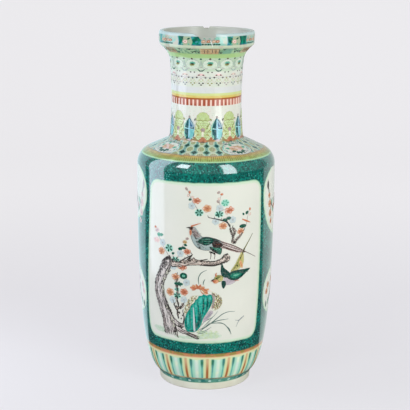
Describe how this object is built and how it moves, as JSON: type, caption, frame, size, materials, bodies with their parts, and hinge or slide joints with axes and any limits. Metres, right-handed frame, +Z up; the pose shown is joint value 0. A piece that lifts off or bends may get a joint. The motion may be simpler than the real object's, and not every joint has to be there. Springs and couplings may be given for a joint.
{
  "type": "porcelain vase",
  "caption": "Tall rouleau-shaped porcelain vase with a straight body, canted shoulder, slim neck and upright dished mouth, painted in overglaze enamels.",
  "frame": {"origin": "centre of the foot, on the surface that the vase stands on", "axes": "+Z up along the vase's axis; -Y towards the front panel"},
  "size_m": [0.1776, 0.1776, 0.46],
  "materials": {
    "bare_foot": "unglazed, smooth fired porcelain",
    "luting_slip": "fired slip",
    "base_glaze": "clear glaze with enamel band",
    "body_enamel": "gloss glaze with overglaze enamels",
    "shoulder_enamel": "gloss glaze with overglaze enamels",
    "neck_enamel": "gloss glaze with overglaze enamels",
    "mouth_enamel": "gloss glaze with overglaze enamels"
  },
  "bodies": {
    "root": {"foot_ring": "bare_foot", "foot_slip_joint": "luting_slip", "base_disc": "base_glaze", "base_slip_joint": "luting_slip", "lower_body": "body_enamel", "waist_slip_joint": "luting_slip", "upper_body": "body_enamel", "shoulder_slip_joint": "luting_slip", "shoulder": "shoulder_enamel", "neck_slip_joint": "luting_slip", "neck": "neck_enamel", "mouth_slip_joint": "luting_slip", "mouth_rim": "mouth_enamel"}
  },
  "joints": []
}
